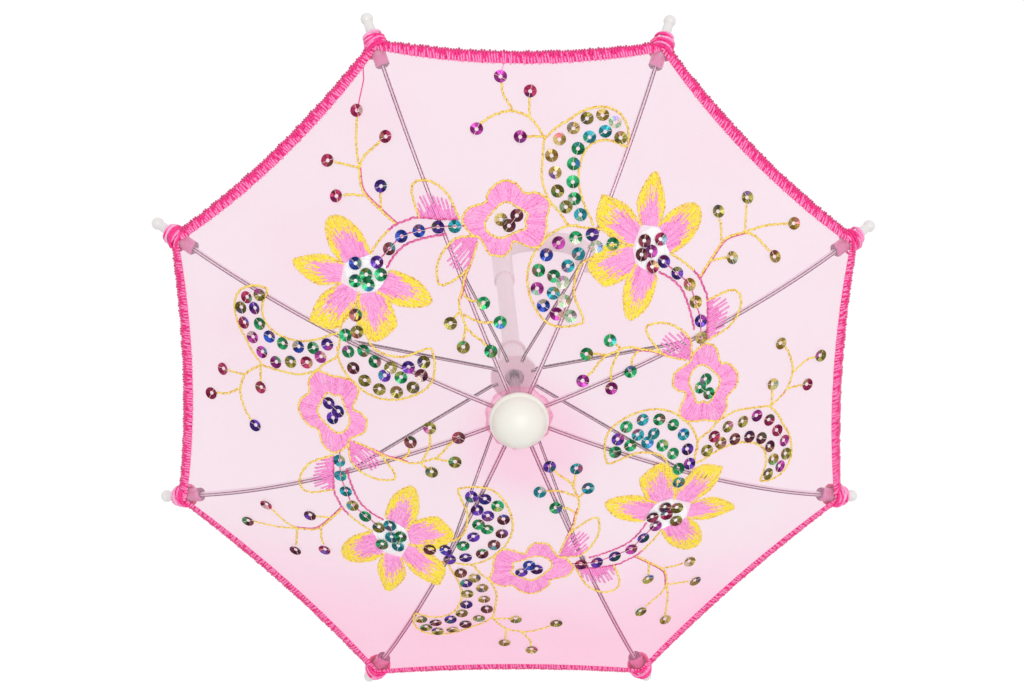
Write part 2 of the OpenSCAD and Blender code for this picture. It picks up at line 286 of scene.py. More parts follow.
def sheer(name, thread, dyed_and_shaded_thread, gap, dyed_and_shaded_gap, open_share, close_share):
    """Plain weave: pale threads, and gaps between them that light and whatever lies below come through.

    The threads are 0.3 mm apart, so from afar the cloth is one even veil, and the weave shows only close by.
    The dye is deeper beside the gathers, and a painted pink shade deepens the colour towards the -Y side,
    away from the lamp."""
    material = new_material(name, {"Roughness": 0.5, "Sheen Weight": 0.2, "Sheen Roughness": 0.4})
    tree = material.node_tree
    shader = tree.nodes["Principled BSDF"]
    place = add_node(tree, "TexCoord").outputs["Object"]
    y = add_node(tree, "SeparateXYZ", {"Vector": place}).outputs["Y"]
    gathers = add_node(tree, "MapRange", {"Value": level_reach(tree, place, 4, -7), "To Max": 0.6,
                                          "From Min": 26 * MM, "From Max": 10 * MM},
                       interpolation_type="SMOOTHSTEP")
    # Painted shade: the cloth turns pinker towards the -Y side, away from the lamp
    side = add_node(tree, "MapRange", {"Value": y, "From Min": -38 * MM, "From Max": -98 * MM},
                    interpolation_type="SMOOTHSTEP")
    drift = add_node(tree, "TexNoise", {"Vector": place, "Scale": 1 / (30 * MM), "Detail": 2})
    uneven = add_node(tree, "MapRange", {"Value": drift, "To Min": -0.25, "To Max": 0.3})
    dye_and_shade = add_node(tree, "Math", {0: gathers, 1: side}, operation="MAXIMUM")
    dye_and_shade = add_node(tree, "Math", {0: dye_and_shade, 1: uneven}, operation="ADD", use_clamp=True)
    warm = add_node(tree, "Mix", {0: dye_and_shade, 6: linear(thread), 7: linear(dyed_and_shaded_thread)}, data_type="RGBA")
    clear = add_node(tree, "Mix", {0: dye_and_shade, 6: linear(gap), 7: linear(dyed_and_shaded_gap)}, data_type="RGBA")
    cloth = add_node(tree, "UVMap", uv_map="cloth")
    waves = []
    for direction in "XY":
        wave = add_node(tree, "TexWave", {"Vector": cloth, "Scale": math.pi / (10 * WEAVE_PITCH * MM),
                                          "Distortion": 0.5, "Detail Scale": 0.4},
                        bands_direction=direction)
        waves.append(wave.outputs[1])
    weave = add_node(tree, "Math", {0: waves[0], 1: waves[1]}, operation="MAXIMUM")
    cover = add_node(tree, "MapRange", {"Value": weave, "From Min": 0.5, "From Max": 0.95,
                                        "To Min": open_share, "To Max": close_share})
    bump = add_node(tree, "Bump", {"Height": weave, "Strength": 0.2, "Distance": 0.03 * MM})
    feed(tree, warm, shader.inputs["Base Color"])
    feed(tree, bump, shader.inputs["Normal"])
    through = add_node(tree, "BsdfTransparent", {"Color": clear})
    both = add_node(tree, "MixShader", {0: cover, 1: through, 2: shader})
    feed(tree, both, tree.nodes["Material Output"].inputs["Surface"])
    return material


# Organza: crisp, sheer, with the soft sheen of twisted filament
organza = sheer("pink_organza", "#f6e4ec", "#fac8de", "#f6e4ec", "#fbcce1", 0, 0.28)


def rim_reach(across):
    """Reach of the rim along the ribs, which draws in towards the fold."""
    return CORNER_REACH - RIM_SAG * (1 - across * across)


def beside_fold(reach, across, half):
    """A place on a half gore as the distances along its fold and to the side of it."""
    away = (HINGE_R + reach) * math.cos(HALF)
    return away, (-1 if half % 2 else 1) * across * away * math.tan(HALF)


def face_up(shape):
    """Turns the faces of an open cloth up."""
    shape.normal_update()
    if sum(face.normal.z for face in shape.faces) < 0:
        bmesh.ops.reverse_faces(shape, faces=shape.faces)


def cloth_piece(half):
    """Half a gore, as a grid from the crown to the rim that is laid over the ribs' bow."""
    shape = bmesh.new()
    bmesh.ops.create_grid(shape, x_segments=14, y_segments=56, size=0.5)
    lengths = {}
    for vert in shape.verts:
        across, out = vert.co.x + 0.5, vert.co.y + 0.5
        reach = INNER_REACH + (rim_reach(across) - INNER_REACH) * out
        away, aside = beside_fold(reach, across, half)
        lengths[vert] = (aside * MM, BEND_R * math.asin(reach / BEND_R) * MM)
        vert.co = (away, aside, HUB + cloth_height(reach))
    bmesh.ops.rotate(shape, verts=shape.verts, matrix=Matrix.Rotation(gore_middle(half), 3, "Z"))
    flat = shape.loops.layers.uv.new("cloth")
    for face in shape.faces:
        for loop in face.loops:
            loop[flat].uv = lengths[loop.vert]
    face_up(shape)
    return shape


cloths, sewn_on = [], [[] for _ in range(16)]
for half in range(16):
    cloth = new_piece(f"canopy_cloth_{half + 1}", cloth_piece(half), organza)
    gore, side, rib = hang(cloth, half)
    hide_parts(f"canopy_panel_{gore}{side}")
    cloths.append((cloth, rib))


# Gathers round the knob: the middle of the cloth is drawn together on the rod and clamped between
# notch and knob. A pleated brim stands out past the knob, and bends down with the ribs.
CROWN_HOLE_R = 1.9
CROWN_FLAT_R = 7.3
CROWN_R = 10.1
CROWN_HEIGHT = 1.95
CROWN_RINGS = 14
PLEATS = 30


def rings(sides, profile):
    """Rings of faces round the origin, through a profile of (radius, height)."""
    shape = bmesh.new()
    before = []
    for radius, height in profile:
        ring = []
        for side in range(sides):
            turn = math.tau * side / sides
            ring.append(shape.verts.new((radius * math.cos(turn), radius * math.sin(turn), height)))
        for i in range(len(before)):
            shape.faces.new((before[i], before[i - 1], ring[i - 1], ring[i]))
        before = ring
    return shape


# The same organza, some layers deep where it is drawn together: denser and pinker
gathered = sheer("gathered_organza", "#f6c6da", "#f2a6c8", "#f8cfe0", "#f5b6d2", 0.1, 0.6)
outwards = [step / CROWN_RINGS for step in range(CROWN_RINGS + 1)]
shape = rings(8 * PLEATS, [(CROWN_HOLE_R + (CROWN_R - CROWN_HOLE_R) * share, 0) for share in outwards])
crown_uv = shape.loops.layers.uv.new("cloth")
for face in shape.faces:
    for loop in face.loops:
        loop[crown_uv].uv = loop.vert.co.xy * MM
for vert in shape.verts:
    radius, azimuth = vert.co.length, math.atan2(vert.co.y, vert.co.x)
    near = smooth((radius - CROWN_FLAT_R) / 2)
    level = CROWN_HEIGHT
    if near:
        level += (cloth_height(radius - HINGE_R) + 0.35 - CROWN_HEIGHT) * near
    pleat = math.sin(PLEATS * azimuth + 1.3 * math.sin(3 * azimuth) + 0.8 * math.sin(7 * azimuth))
    edge = smooth((radius - CROWN_R + 2) / 2)
    vert.co.xy *= 1 + edge * 0.03 * math.sin(11 * azimuth + 1)
    vert.co.z = HUB + level + 0.22 * near * (1 + pleat)
for k in range(9):
    part = shape.copy()
    lost = []
    for face in part.faces:
        middle = face.calc_center_median()
        rib = int(math.atan2(middle.y, middle.x) % math.tau / (2 * HALF)) % 8 + 1
        if k != (0 if middle.xy.length < CROWN_FLAT_R else rib):
            lost.append(face)
    bmesh.ops.delete(part, geom=lost, context="FACES")
    gathers = new_piece(f"canopy_brim_{k}" if k else "canopy_crown_gathers", part, gathered)
    if k:
        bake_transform(gathers)
    else:
        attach(gathers, "shaft")
        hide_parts("canopy_crown")
shape.free()


# Overlocked hem: the rim is turned once and sewn over with hot pink thread, in slanting stitches
# that wrap the edge like a ragged comb, with paler strands of the same thread lying between them.
def threads(runs, thickness, resolution=1):
    """A mesh of round threads along runs of (x, y, height, share of the thickness)."""
    curve = bpy.data.curves.new("threads", "CURVE")
    curve.dimensions = "3D"
    curve.bevel_depth = thickness / 2
    curve.bevel_resolution = resolution
    curve.use_fill_caps = True
    for run in runs:
        spline = curve.splines.new("POLY")
        spline.points.add(len(run) - 1)
        for point, (x, y, height, share) in zip(spline.points, run):
            point.co = (x, y, height, 1)
            point.radius = share
    holder = bpy.data.objects.new("threads", curve)
    mesh = bpy.data.meshes.new_from_object(holder)
    bpy.data.objects.remove(holder)
    bpy.data.curves.remove(curve)
    return mesh


def lay(shape, mesh, number):
    """Adds a mesh to a bmesh, in one of its materials."""
    count = len(shape.faces)
    shape.from_mesh(mesh)
    bpy.data.meshes.remove(mesh)
    shape.faces.ensure_lookup_table()
    for face in shape.faces[count:]:
        face.material_index = number


def crossing(before, after, border):
    """The point where a run crosses the upright plane between two half gores."""
    way = Vector((math.cos(border), math.sin(border)))
    first = way.x * before[1] - way.y * before[0]
    second = way.x * after[1] - way.y * after[0]
    share = first / (first - second)
    return tuple(a + (b - a) * share for a, b in zip(before, after))


def by_half_gore(runs):
    """Sorts runs by half gore, and cuts them where they pass from one to the next."""
    sorted_runs = [[] for _ in range(16)]
    for run in runs:
        part, home = [run[0]], half_gore(*run[0][:2])
        for before, after in zip(run, run[1:]):
            new_home = half_gore(*after[:2])
            if new_home != home:
                border = 0 if {home, new_home} == {0, 15} else max(home, new_home) * HALF
                meet = crossing(before, after, border)
                sorted_runs[home].append(part + [meet])
                part, home = [meet], new_home
            part.append(after)
        sorted_runs[home].append(part)
    return sorted_runs


def sew(name, layers):
    """One piece of thread for each half gore, laid on the cloth: layers are (material, size, runs)."""
    layers = [(material, size, by_half_gore(runs)) for material, size, runs in layers]
    for half in range(16):
        shape = bmesh.new()
        for number, (material, size, sorted_runs) in enumerate(layers):
            runs = [run for run in sorted_runs[half] if len(run) > 1]
            if runs:
                lay(shape, threads(runs, size), number)
        if not shape.verts:
            shape.free()
            continue
        for vert in shape.verts:
            reach = gore_place(vert.co.x, vert.co.y, half)[0]
            vert.co.z += HUB + cloth_height(reach)
        piece = new_piece(f"{name}_{half + 1}", shape, *[layer[0] for layer in layers])
        hang(piece, half)
        sewn_on[half].append(piece)


def spun(pale, deep, pitch_mm, deep_share=0.3):
    """Twisted thread: tufts of a paler and a deeper shade that change about once in each pitch."""
    def fed(tree, place):
        tuft = add_node(tree, "TexNoise", {"Vector": place, "Scale": 1 / (pitch_mm * MM), "Detail": 3})
        tone = add_node(tree, "MapRange", {"Value": tuft,
                                           "From Min": deep_share, "From Max": deep_share + 0.2})
        shade = add_node(tree, "Mix", {0: tone, 6: linear(deep), 7: linear(pale)}, data_type="RGBA")
        bump = add_node(tree, "Bump", {"Height": tuft, "Strength": 0.5, "Distance": 0.1 * MM})
        return {"Base Color": shade, "Normal": bump}
    return fed


# Rayon thread: silky, with soft highlights. The hem has a hot and a paler pink of it
rayon = {"Roughness": 0.45, "Specular IOR Level": 0.3, "Sheen Weight": 0.05, "Sheen Roughness": 0.35}
hem_pink = new_material("hem_thread", rayon, spun("#ff3d95", "#d5126a", 0.5, 0.32))
light_pink = new_material("hem_top_thread", rayon, spun("#ff9ace", "#f55ca6", 0.5, 0.32))

HEM_MIDDLE = 2.6
HEM_CORNER = 1.5
STITCH_PITCH = 0.84


def rim_line(half):
    """Points along the rim of a half gore, from fold to rib."""
    turn = Matrix.Rotation(gore_middle(half), 2)
    places = [beside_fold(rim_reach(step / 80), step / 80, half) for step in range(81)]
    return [turn @ Vector(place) for place in places]


def even_steps(points, pitch, start=0.5):
    """(place, direction) at even steps along a line, the first at a share of a step from its start."""
    found, wanted, done = [], pitch * start, 0
    for before, after in zip(points, points[1:]):
        length = (after - before).length
        while length and wanted <= done + length:
            share = (wanted - done) / length
            found.append((before.lerp(after, share), (after - before) / length))
            wanted += pitch
        done += length
    return found


def hem_place(place, along, half):
    """The way inwards from a place on the rim, and the hem's width there."""
    inward = Vector((-along.y, along.x))
    if inward.dot(place) > 0:
        inward = -inward
    across = gore_place(place.x, place.y, half)[1]
    return inward, HEM_CORNER + (HEM_MIDDLE - HEM_CORNER) * math.sqrt(max(0, 1 - across ** 2))


random.seed(11)
wraps, tops, bands = [], [], []
for half in range(16):
    line = rim_line(half)
    for place, along in even_steps(line, STITCH_PITCH):
        inward, width = hem_place(place, along, half)
        slant = 0.35 * (1 if half % 2 else -1) + random.uniform(-0.3, 0.3)
        reach_in, reach_out = width * random.uniform(0.88, 1.04), random.uniform(0.2, 0.6)
        wrap = []
        for depth, height, share in ((reach_in, 0.1, 0.7), (width * 0.6, 0.4, 1), (0.3, 0.48, 1.1),
                                     (-reach_out, 0.02, 1.15), (0.2, -0.4, 1), (width * 0.8, -0.35, 0.8)):
            at = place + inward * depth + along * slant * depth / width
            wrap.append((at.x, at.y, height, share))
        wraps.append(wrap)
        start = width * random.uniform(-0.1, 0.55)
        lean = slant + random.uniform(-0.35, 0.35)
        top = []
        for depth, height, share in ((start, 0.4, 0.6), (start + 0.4, 0.66, 1), (width * 0.85, 0.56, 1.1),
                                     (width * random.uniform(1, 1.12), 0.16, 0.6)):
            at = place + inward * depth + along * (0.4 + lean * depth / width)
            top.append((at.x, at.y, height, share))
        tops.append(top)
    for share in (0.1, 0.35, 0.6, 0.85):
        lane = []
        for place, along in even_steps(line, 2.4, 0.01):
            inward, width = hem_place(place, along, half)
            at = place + inward * width * share
            lane.append((at.x, at.y, 0.02, 1))
        bands.append(lane)
sew("hem", [(hem_pink, 0.72, wraps), (light_pink, 0.5, tops), (hem_pink, 0.74, bands)])

# Two ends of thread that hang from the hem
loose_pink = [[(-46.6, 101.2, 0.1, 1), (-46.9, 98, 0.3, 1), (-46.7, 95.3, 0.2, 1), (-47.8, 90.5, 0.3, 1),
               (-48.6, 86.4, 0.2, 1)]]
loose_pale = [[(-5, 102.2, 0.1, 1), (-4.6, 101, 0.4, 1), (-5, 99.6, 0.3, 1), (-5.6, 98.4, 0.2, 1)]]
sew("loose_ends", [(hem_pink, 0.34, loose_pink), (light_pink, 0.26, loose_pale)])


# Windings at the tips: the corner of the cloth is tied to the neck of each rib tip with turns of
# both hem threads and of a pale pink one, pulled tight over each other.
TIE_TURNS = 11
TIE_START = 5.4
TIE_WIDTH = 5.2
TIE_R = 3.2
TIE_TAPER = 0.75

# The same rayon thread in a washed-out pink
pale_pink = new_material("tie_thread", rayon, spun("#fbbcdc", "#ef80ba", 0.5))
slope = math.atan(MOUTH_SLOPE)
mouth = Vector((HINGE_R + RIB_REACH, 0, math.sqrt(BEND_R ** 2 - RIB_REACH ** 2) - BEND_R))
way_out = Vector((math.cos(slope), 0, -math.sin(slope)))
way_up = Vector((math.sin(slope), 0, math.cos(slope)))
random.seed(23)
for k in range(1, 9):
    shape = bmesh.new()
    for turn in range(TIE_TURNS):
        out = TIE_START + TIE_WIDTH * turn / (TIE_TURNS - 1) + random.uniform(-0.3, 0.3)
        radius = TIE_R - TIE_TAPER * smooth((out - 7.5) / 3.5) + random.uniform(-0.2, 0.3)
        tilt, skew = random.uniform(-0.3, 0.3), random.uniform(-0.3, 0.3)
        run = []
        for step in range(19):
            angle = step / 18 * math.tau + turn
            shift = tilt * math.sin(angle) + skew * math.cos(angle)
            squeeze = radius * (1 + 0.04 * math.sin(3 * angle + turn))
            at = mouth + way_out * (out + shift * radius) + way_up * (math.cos(angle) * squeeze + 0.4)
            at.y += math.sin(angle) * squeeze
            run.append((at.x, at.y, at.z, 1 + 0.2 * math.sin(2 * angle + k)))
        lay(shape, threads([run], random.uniform(0.7, 1), 2), (0, 1, 0, 0, 1, 0, 1, 2, 0, 1, 2)[turn])
    bmesh.ops.translate(shape, verts=shape.verts, vec=(0, 0, HUB))
    bmesh.ops.rotate(shape, verts=shape.verts, matrix=Matrix.Rotation((k - 0.5) * 2 * HALF, 3, "Z"))
    tie = new_piece(f"tip_winding_{k}", shape, hem_pink, light_pink, pale_pink)
    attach(tie, f"rib_arm_{k}")


# Embroidery: machine-stitched flowers, leaves, crescents and sprigs in a ring round the knob, the
# same quarter four times over. Petals are filled with satin stitches that run outwards, pink near
# the middle and yellow at the tips, and every outline is a lumpy yellow chain stitch.
RING_CENTRE = Vector((0.5, 2.4))
CHAIN_PITCH = 1.05
PINK_PITCH = 0.44
YELLOW_PITCH = 0.27
LEAF_PITCH = 0.6


def curved(points, closed=False):
    """A soft line through given points."""
    points = [Vector(p) for p in points]
    if closed:
        points = points + points[:1]
    line = []
    for i in range(len(points) - 1):
        before = points[i - 1] if i else (points[-2] if closed else points[0])
        after = points[i + 2] if i + 2 < len(points) else (points[1] if closed else points[-1])
        first, last = points[i], points[i + 1]
        for step in range(6):
            share = step / 6
            line.append(0.5 * (2 * first + (last - before) * share
                               + (2 * before - 5 * first + 4 * last - after) * share ** 2
                               + (3 * first - before - 3 * last + after) * share ** 3))
    return line + [points[-1]]


def chain_stitch(points, closed=False, height=0.34, side=0):
    """Beads of thread, one for each stitch, that lean a little to the left and right in turn."""
    beads = []
    for number, (place, along) in enumerate(even_steps(curved(points, closed), CHAIN_PITCH)):
        across = Vector((-along.y, along.x))
        lean = across * (0.08 if number % 2 else -0.08)
        place = place + across * side
        bead = []
        for far, share in ((-0.56, 0.6), (-0.25, 1), (0.25, 1.05), (0.58, 0.65)):
            at = place + along * far * CHAIN_PITCH + lean * (1 if far > 0 else -1)
            bead.append((at.x, at.y, height + random.uniform(-0.05, 0.05), share))
        beads.append(bead)
    return beads


def strand(points, height):
    """A single thread that lies along a soft line."""
    return [[(at.x, at.y, height, 1) for at in curved(points)]]


def fan(outline, apex, spacing):
    """Rays from an apex across an outline: for each its way, distances in and out, and side (-1 to 1)."""
    apex = Vector(apex)
    line = [Vector(p) - apex for p in outline]
    line.append(line[0])
    middle = sum(line, Vector((0, 0))) / len(line)
    bearings = [middle.angle_signed(p) for p in line]
    count = max(2, round((max(bearings) - min(bearings)) * middle.length / spacing))
    rays = []
    for step in range(count):
        side = (step + 0.5) / count * 2 - 1
        bearing = (min(bearings) + max(bearings) + (max(bearings) - min(bearings)) * side) / 2
        way = Matrix.Rotation(-bearing, 2) @ middle.normalized()
        hits = []
        for a, b in zip(line, line[1:]):
            side_a, side_b = way.cross(a), way.cross(b)
            if side_a * side_b < 0:
                hits.append(a.lerp(b, side_a / (side_a - side_b)).dot(way))
        if len(hits) > 1:
            rays.append((way, min(hits), max(hits), side))
    return rays


def satin(apex, way, near, far, height=0.26):
    """One satin stitch, thin at the ends where it dives into the cloth."""
    bend = Vector((-way.y, way.x)) * random.uniform(-0.15, 0.15)
    dive = min(0.35 / max(far - near, 0.7), 0.4)
    stitch = []
    for share, rise, size in ((0, -0.2, 0.6), (dive, 0, 1), (1 - dive, 0, 1), (1, -0.2, 0.6)):
        at = Vector(apex) + way * (near + (far - near) * share) + bend * (1 if 0 < share < 1 else 0)
        stitch.append((at.x, at.y, height + rise + random.uniform(-0.03, 0.03), size))
    return stitch


def filled(apex, way, near, far, length, height):
    """A row of satin stitches of about one length that take over from each other in a line."""
    row, start = [], near
    first = length * random.uniform(0.4, 1)
    while far - start > 0.5:
        end = min(start + first, far)
        if far - end < 0.8:
            end = far
        row.append(satin(apex, way, start - 0.1, end, height))
        start, first = end, length * random.uniform(0.8, 1.2)
    return row


star_middle = (-46.3, 39.3)
star_petals = [
    [(-53.2, 41.3), (-56.8, 45), (-58.5, 50.5), (-57.2, 53.7), (-53.2, 54.1), (-48.5, 51), (-45.6, 46.2),
     (-45.2, 44.5)],
    [(-53.2, 41), (-59, 43), (-65.9, 41.5), (-68.3, 40.2), (-66.6, 37.8), (-60.8, 34.7), (-54.2, 35.9)],
    [(-53.9, 35.6), (-59.7, 31.4), (-62.9, 25.2), (-62.2, 23.6), (-56, 22.4), (-50.6, 27.8), (-48.6, 33.2)],
    [(-48.1, 32.9), (-49.2, 26.9), (-48.1, 23.1), (-43.4, 19.8), (-38.3, 23.5), (-37.4, 26.1), (-39.8, 31.9),
     (-43, 33.9)],
    [(-42.7, 34.4), (-37.3, 31), (-30.5, 30.8), (-26.9, 32.8), (-30.5, 37.9), (-36.9, 40.3), (-39.1, 40.3)],
]
round_middle = (-4.5, 56.5)
round_outside = [(-17.7, 56.7), (-15.7, 59.6), (-11, 61.1), (-10.2, 63.6), (-7.8, 66), (-5.1, 67.1),
                 (-1.9, 66.3), (0.9, 63.7), (4, 63.9), (6.8, 62.6), (8.2, 60.8), (7.2, 56.8), (7.2, 53.9),
                 (6, 49.8), (2.8, 48.8), (-2.3, 50.5), (-3.5, 48.3), (-5.4, 46.4), (-7.4, 46.4),
                 (-9.8, 47.1), (-12.4, 51.2), (-14.9, 52.3), (-16.9, 54.5)]
round_inside = [(-11, 55.6), (-9.8, 57.5), (-6.7, 60.6), (-4.3, 61.3), (-1.9, 60.2), (1.6, 58.2), (1, 56),
                (1.2, 54.2), (-1.5, 53.1), (-5.9, 51.4), (-9, 52.1), (-10.8, 53.8)]
outer_leaf = [(-18.6, 56.5), (-20.2, 59.9), (-22, 63.2), (-24.3, 65.3), (-27, 66.7), (-29.2, 67.1),
              (-31.5, 66.5), (-32.6, 65.1), (-32.7, 63.1), (-31.9, 60.2), (-30.6, 56.6)]
inner_leaf = [(-12.6, 51.8), (-18, 51.6), (-20.7, 50.5), (-22.9, 48.1), (-24.5, 45.3), (-25.3, 42.2),
              (-25.1, 39.3), (-24.2, 37.6), (-21.5, 38.4), (-17.5, 41.3), (-15.7, 43.3), (-14.3, 46.7),
              (-13.2, 50.3)]
outer_crescent = [(16.8, 55), (13.7, 55.1), (11, 58.7), (8.3, 61.4), (6.8, 64.5), (5.9, 67.7), (6.1, 72.6),
                  (6.5, 76.6), (6.9, 78.2), (10.3, 81.2), (14.2, 83.3), (17.9, 85.4), (22.5, 86.6),
                  (26.4, 86.4), (29.7, 84.7), (31.5, 81.8), (31.9, 78.6), (31.1, 76.3), (29.3, 77),
                  (26.3, 77.9), (23.2, 77.8), (20.5, 76.7), (18.4, 74.3), (17.3, 71.3), (16.8, 68.3),
                  (17.2, 64.5), (18.6, 60.4), (20.4, 56.8), (21.1, 54.8)]
inner_crescent = [(29.9, 47.1), (26.7, 46), (22.6, 46.1), (19.4, 45.3), (17.1, 43.4), (15.7, 39.6),
                  (15.6, 35), (17.2, 31), (18.5, 27.3), (16.5, 26.2), (12.9, 25.8), (8.9, 26.4), (5.7, 28.8),
                  (3.3, 32.7), (1.9, 36.9), (1.7, 41.9), (3.2, 46.4), (6, 50.2), (9.5, 53.1), (13.9, 54.8),
                  (18.6, 54.3), (23.8, 53.8), (27, 52.1)]
stem_outside = [(-45.2, 44.7), (-42.7, 48.5), (-39.8, 51.9), (-37.5, 53.8), (-34.1, 55.4), (-30.5, 56.5),
                (-18.6, 56.5)]
stem_inside = [(-40.2, 41.2), (-38, 44.9), (-34.8, 48.2), (-30.9, 50.1), (-26.2, 51.6), (-22, 52.5)]
sprig_stems = [
    [(6.8, 78.4), (4.7, 81.5), (2.1, 84), (-2.3, 85.4), (-5.6, 85.2), (-9.4, 83.9), (-11.7, 82.5),
     (-13.5, 80.7)],
    [(-2.7, 85.8), (-5.4, 89.8), (-6.3, 94.7)],
    [(2.4, 83.8), (2.3, 86.5), (2.6, 90.7)],
    [(6.6, 78.7), (4.1, 78.9), (-0.5, 78.7)],
    [(-15.3, 44.3), (-17.1, 39.8), (-17.8, 36.2), (-18.6, 33.4), (-18.4, 30.7), (-17.2, 27.4),
     (-16.7, 25.4), (-17.3, 21.7), (-17.3, 19.5)],
    [(-17.4, 35.3), (-15.5, 33.7), (-11.4, 32.9)],
    [(-18.2, 30), (-20.3, 28), (-21.1, 26.5)],
    [(-17.4, 29.3), (-14.4, 27.9), (-11.7, 27.1), (-6.4, 27.2)],
    [(-16.7, 25.6), (-14.4, 23.3), (-12, 21.6), (-9.1, 18.5)],
    [(-37.5, 54), (-41.8, 57.2), (-46.3, 60.9), (-47.9, 63.5), (-48.5, 68.2), (-49.4, 74.7), (-49.2, 84.2)],
    [(-41.8, 57.2), (-42.1, 61.4), (-41.9, 64.1)],
    [(-46.9, 60.8), (-50.6, 60.8), (-55.3, 59.8)],
    [(-48.6, 68.4), (-50.6, 68.6), (-58, 69.2)],
    [(-48.5, 68.2), (-47, 71.7), (-43.9, 74.8), (-40.5, 77.9)],
]


def outward(number):
    """Ways out from a middle, evenly all round."""
    return [Matrix.Rotation(math.tau * (i + 0.37) / number, 2) @ Vector((1, 0)) for i in range(number)]


def distance_out(line, way):
    """How far a closed line lies from the middle, in one direction."""
    hits = [a.lerp(b, way.cross(a) / (way.cross(a) - way.cross(b))).dot(way)
            for a, b in zip(line, line[1:] + line[:1]) if way.cross(a) * way.cross(b) < 0]
    return max(hits)


random.seed(5)
pink_satin, leaf_satin, yellow_satin, amber_satin, white_satin = [], [], [], [], []
yellow_chain, pink_chain = [], []
for petal in star_petals:
    foot = (Vector(petal[0]) + Vector(petal[-1])) / 2
    tip = max((Vector(p) for p in petal), key=lambda p: (p - Vector(star_middle)).length)
    apex = foot + (foot - tip) * 0.5
    base = (foot - apex).length - 1.2
    for way, near, far, side in fan(curved(petal), apex, PINK_PITCH):
        near = max(near, base)
        change = near + (far - near) * (random.uniform(0.6, 0.9) - 0.3 * side * side)
        strands = leaf_satin if random.random() < 0.18 else pink_satin
        strands += filled(apex, way, near, change, 3.2, 0.3)
    for way, near, far, side in fan(curved(petal), apex, YELLOW_PITCH):
        near = max(near, base)
        change = near + (far - near) * (random.uniform(0.44, 0.82) - 0.36 * side * side)
        strands = amber_satin if random.random() < 0.15 else yellow_satin
        strands += filled(apex, way, change, far, 2.2, 0.34)
    yellow_chain += chain_stitch(petal)
for step in range(35):
    off = (step - 17) / 17.5
    half_width = 6.6 * math.sqrt(1 - off * off)
    at = Vector(star_middle) + Vector((-half_width, off * 5.3))
    white_satin.append(satin(at, Vector((1, 0)), 0, 2 * half_width, 0.18))
outside = [Vector(p) - Vector(round_middle) for p in curved(round_outside, True)]
inside = [Vector(p) - Vector(round_middle) for p in curved(round_inside, True)]
for way in outward(170):
    near, far = distance_out(inside, way), distance_out(outside, way)
    strands = leaf_satin if random.random() < 0.18 else pink_satin
    strands += filled(round_middle, way, near, far, 3.6, 0.28)
yellow_chain += chain_stitch(round_outside, True) + chain_stitch(round_inside, True)
for leaf, apex in ((outer_leaf, (-12, 30)), (inner_leaf, (10, 78))):
    yellow_chain += chain_stitch(leaf)
    for number, (way, near, far, side) in enumerate(fan(curved(leaf), apex, LEAF_PITCH)):
        reach_in = (far - near) * (random.uniform(0.56, 0.74) if number % 2 else random.uniform(0.2, 0.45))
        leaf_satin.append(satin(apex, way, near, near + reach_in, 0.28))
yellow_chain += chain_stitch(outer_crescent) + chain_stitch(inner_crescent)
for stem in sprig_stems:
    end = Vector(stem[-1]) + (Vector(stem[-2]) - Vector(stem[-1])).normalized() * 1.9
    yellow_chain += chain_stitch(stem[:-1] + [tuple(end)])
pink_chain += chain_stitch(stem_outside[2:]) + chain_stitch(stem_inside)
yellow_chain += chain_stitch(stem_outside[:3])
pink_strands = strand(sprig_stems[9][:5], 0.2) + strand(sprig_stems[4][:4], 0.2)
pink_strands = [[(x + 0.45, y + 0.3, height, share) for x, y, height, share in run] for run in pink_strands]
pink_strands += strand([(-43, 42.7), (-39.3, 46.8), (-35.7, 50.7), (-30.5, 52.7), (-24.9, 54.3),
                        (-16, 54.6)], 0.15)


def four_times(runs):
    """Repeats a quarter's runs round the ring of embroidery."""
    repeated = []
    for quarter in range(4):
        turn = Matrix.Rotation(-quarter * math.pi / 2, 2)
        for run in runs:
            turned = []
            for x, y, height, share in run:
                at = turn @ Vector((x, y)) + RING_CENTRE
                turned.append((at.x, at.y, height, share))
            repeated.append(turned)
    return repeated


# Embroidery threads: the same rayon in pinks, yellows and white, each with a deeper shade in its twist
satin_pink = new_material("pink_satin_thread", rayon, spun("#ffb0e2", "#f58aca", 0.5))
leaf_pink = new_material("pink_leaf_thread", rayon, spun("#fb9ad8", "#e168b0", 0.6))
stem_pink = new_material("pink_chain_thread", rayon, spun("#f77ab8", "#c83c80", 0.6, 0.38))
satin_yellow = new_material("yellow_satin_thread", rayon, spun("#ffeb50", "#f4c922", 0.5))
satin_amber = new_material("amber_satin_thread", rayon, spun("#ffda74", "#f2a95c", 0.5))
chain_yellow = new_material("yellow_chain_thread", rayon, spun("#ffe774", "#dc9240", 0.6, 0.34))
lining_white = new_material("white_lining_thread", rayon, spun("#fffdff", "#f6f0f5", 0.9))
sew("pink_embroidery", [(satin_pink, 0.5, four_times(pink_satin)),
                                           (leaf_pink, 0.6, four_times(leaf_satin)),
                                           (stem_pink, 0.68, four_times(pink_chain)),
                                           (stem_pink, 0.42, four_times(pink_strands))])
sew("yellow_embroidery", [(satin_yellow, 0.46, four_times(yellow_satin)),
                                           (satin_amber, 0.46, four_times(amber_satin)),
                                           (chain_yellow, 0.68, four_times(yellow_chain)),
                                           (lining_white, 0.5, four_times(white_satin))])


